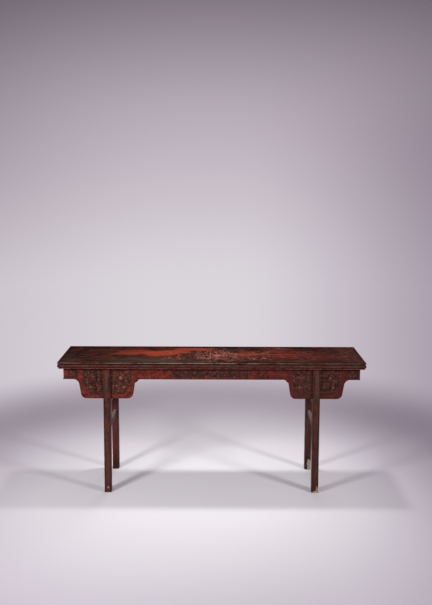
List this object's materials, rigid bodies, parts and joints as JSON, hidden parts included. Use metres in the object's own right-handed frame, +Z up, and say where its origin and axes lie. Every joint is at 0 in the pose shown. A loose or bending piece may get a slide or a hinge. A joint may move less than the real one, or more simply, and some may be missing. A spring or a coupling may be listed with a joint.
{
  "type": "altar table",
  "caption": "Long narrow flat-top table with inset splayed legs, curved spandrels, aprons and side stretchers in painted red lacquer, for displaying objects.",
  "frame": {"origin": "on the floor under the middle of the table", "axes": "+X along the table's length, +Y towards the back, +Z up; the front faces -Y"},
  "size_m": [1.85, 0.425, 0.825],
  "materials": {
    "top_lacquer": "glossy aged lacquer painted with scrolls in red, olive black and gilt",
    "batten_wood": "plain dark lacquered wood, matt",
    "apron_lacquer": "aged red lacquer with dark cartouches and gilt scrolls",
    "spandrel_lacquer": "olive black lacquer painted with flowers inside a red border",
    "leg_lacquer": "dark red-brown lacquer, worn pale in spots near the feet",
    "stretcher_lacquer": "dark red-brown lacquer, satin"
  },
  "bodies": {
    "root": {"top_rail_front": "top_lacquer", "top_rail_back": "top_lacquer", "top_rail_left": "top_lacquer", "top_rail_right": "top_lacquer", "top_board_front": "top_lacquer", "top_board_back": "top_lacquer", "batten_1": "batten_wood", "batten_2": "batten_wood", "batten_3": "batten_wood", "batten_4": "batten_wood", "apron_front": "apron_lacquer", "apron_back": "apron_lacquer", "end_apron_left": "apron_lacquer", "end_apron_right": "apron_lacquer", "spandrel_front_left": "spandrel_lacquer", "spandrel_front_right": "spandrel_lacquer", "spandrel_back_left": "spandrel_lacquer", "spandrel_back_right": "spandrel_lacquer", "leg_front_left": "leg_lacquer", "leg_front_right": "leg_lacquer", "leg_back_left": "leg_lacquer", "leg_back_right": "leg_lacquer", "stretcher_upper_left": "stretcher_lacquer", "stretcher_lower_left": "stretcher_lacquer", "stretcher_upper_right": "stretcher_lacquer", "stretcher_lower_right": "stretcher_lacquer"}
  },
  "joints": []
}
